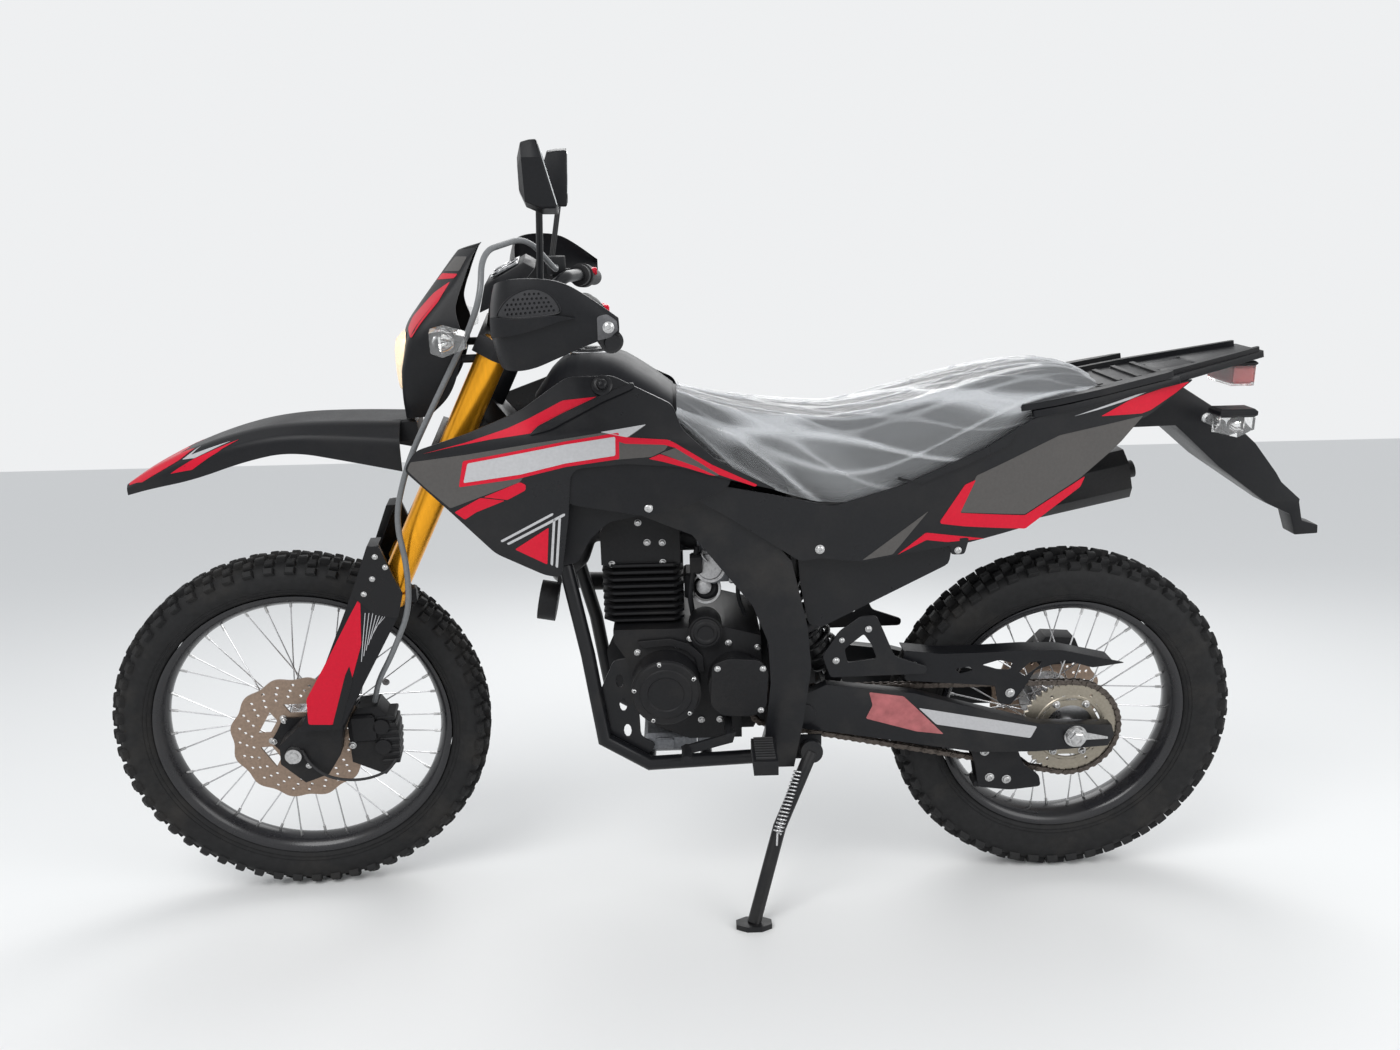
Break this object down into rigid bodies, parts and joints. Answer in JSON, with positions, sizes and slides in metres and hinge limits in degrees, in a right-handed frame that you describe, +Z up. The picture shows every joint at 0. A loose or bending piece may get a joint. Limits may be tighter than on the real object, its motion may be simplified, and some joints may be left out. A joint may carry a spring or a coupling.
{
  "type": "dual sport motorcycle",
  "caption": "Single-cylinder dual sport motorcycle with spoked wheels, high front mudguard, upside-down fork, long seat and rear rack, leaning on its side stand.",
  "frame": {"origin": "on the ground, in the middle of the parked machine's footprint", "axes": "+X from the front wheel to the tail, +Y to the machine's right, +Z up; the machine leans 11 degrees to its left on the side stand"},
  "size_m": [2.2386, 0.8566, 1.4176],
  "materials": {
    "tyre_rubber": "matt black rubber",
    "rim_black": "satin black anodised alloy",
    "hub_alloy": "bright hub and spokes",
    "bronze_steel": "bronze brake disc",
    "sprocket_steel": "bronze sprocket",
    "chain_steel": "dark chain",
    "gold_alloy": "gold anodised",
    "black_casting": "black painted casting",
    "axle_steel": "plated steel",
    "black_plastic": "satin black plastic",
    "panel_plastic": "dark grey body panel",
    "guard_red": "red plastic",
    "grip_rubber": "black rubber",
    "hose_rubber": "grey-black hose",
    "clear_lens": "clear lens",
    "frame_paint": "satin black frame paint",
    "engine_black": "black painted alloy",
    "carburettor_alloy": "cast alloy",
    "exhaust_steel": "heat-proof black",
    "tank_paint": "black paint",
    "seat_cover": "black vinyl",
    "rack_black": "satin black",
    "spring_steel": "red spring"
  },
  "bodies": {
    "chassis": {"frame": "frame_paint", "cradle": "frame_paint", "subframe": "frame_paint", "engine_crankcase": "engine_black", "engine_top_end": "engine_black", "carburettor": "carburettor_alloy", "air_box": "black_plastic", "exhaust_header": "exhaust_steel", "silencer": "exhaust_steel", "fuel_tank": "tank_paint", "seat": "seat_cover", "shroud_left": "panel_plastic", "shroud_right": "panel_plastic", "knee_trims": "black_plastic", "side_cover_left": "panel_plastic", "side_cover_right": "panel_plastic", "luggage_rack": "rack_black", "rear_mudguard": "black_plastic", "rear_lamps": "clear_lens", "swingarm": "frame_paint", "rear_axle": "axle_steel", "shock_absorber": "spring_steel", "chain": "chain_steel", "chain_guards": "black_plastic", "rear_caliper": "black_casting", "foot_controls": "black_casting", "horn": "black_casting"},
    "steering": {"fork_tubes": "gold_alloy", "fork_sliders": "black_casting", "front_axle": "axle_steel", "fork_yokes": "black_casting", "handlebar": "frame_paint", "grips": "grip_rubber", "controls": "black_plastic", "mirrors": "black_plastic", "handguards": "black_plastic", "headlamp_mask": "black_plastic", "headlamp": "clear_lens", "instrument_panel": "black_plastic", "front_indicators": "clear_lens", "front_mudguard": "black_plastic", "fork_guards": "guard_red", "front_caliper": "black_casting", "front_brake_hose": "hose_rubber"},
    "front_wheel": {"front_tyre": "tyre_rubber", "front_rim": "rim_black", "front_hub": "hub_alloy", "front_disc": "bronze_steel"},
    "rear_wheel": {"rear_tyre": "tyre_rubber", "rear_rim": "rim_black", "rear_hub": "hub_alloy", "rear_disc": "bronze_steel", "rear_sprocket": "sprocket_steel"},
    "side_stand": {"side_stand": "frame_paint"}
  },
  "joints": [
    {"name": "steering_head", "type": "hinge", "parent": "chassis", "child": "steering", "pos_m": [-0.71371, 0.15666, 0.30951], "axis": [0.4528, -0.17, 0.8752], "range_deg": [-46.6, 33.4]},
    {"name": "front_wheel_spin", "type": "hinge", "parent": "steering", "child": "front_wheel", "pos_m": [-0.77482, 0.14294, 0.33846], "axis": [-0.1027, 0.9652, 0.2406], "continuous": true},
    {"name": "rear_wheel_spin", "type": "hinge", "parent": "chassis", "child": "rear_wheel", "pos_m": [0.66479, 0.1545, 0.32246], "axis": [-0.0003, 0.9816, 0.1908], "continuous": true},
    {"name": "side_stand_fold", "type": "hinge", "parent": "chassis", "child": "side_stand", "pos_m": [0.17483, 0.02354, 0.2933], "axis": [0, -0.9997, 0.0262], "range_deg": [0, 95]}
  ]
}
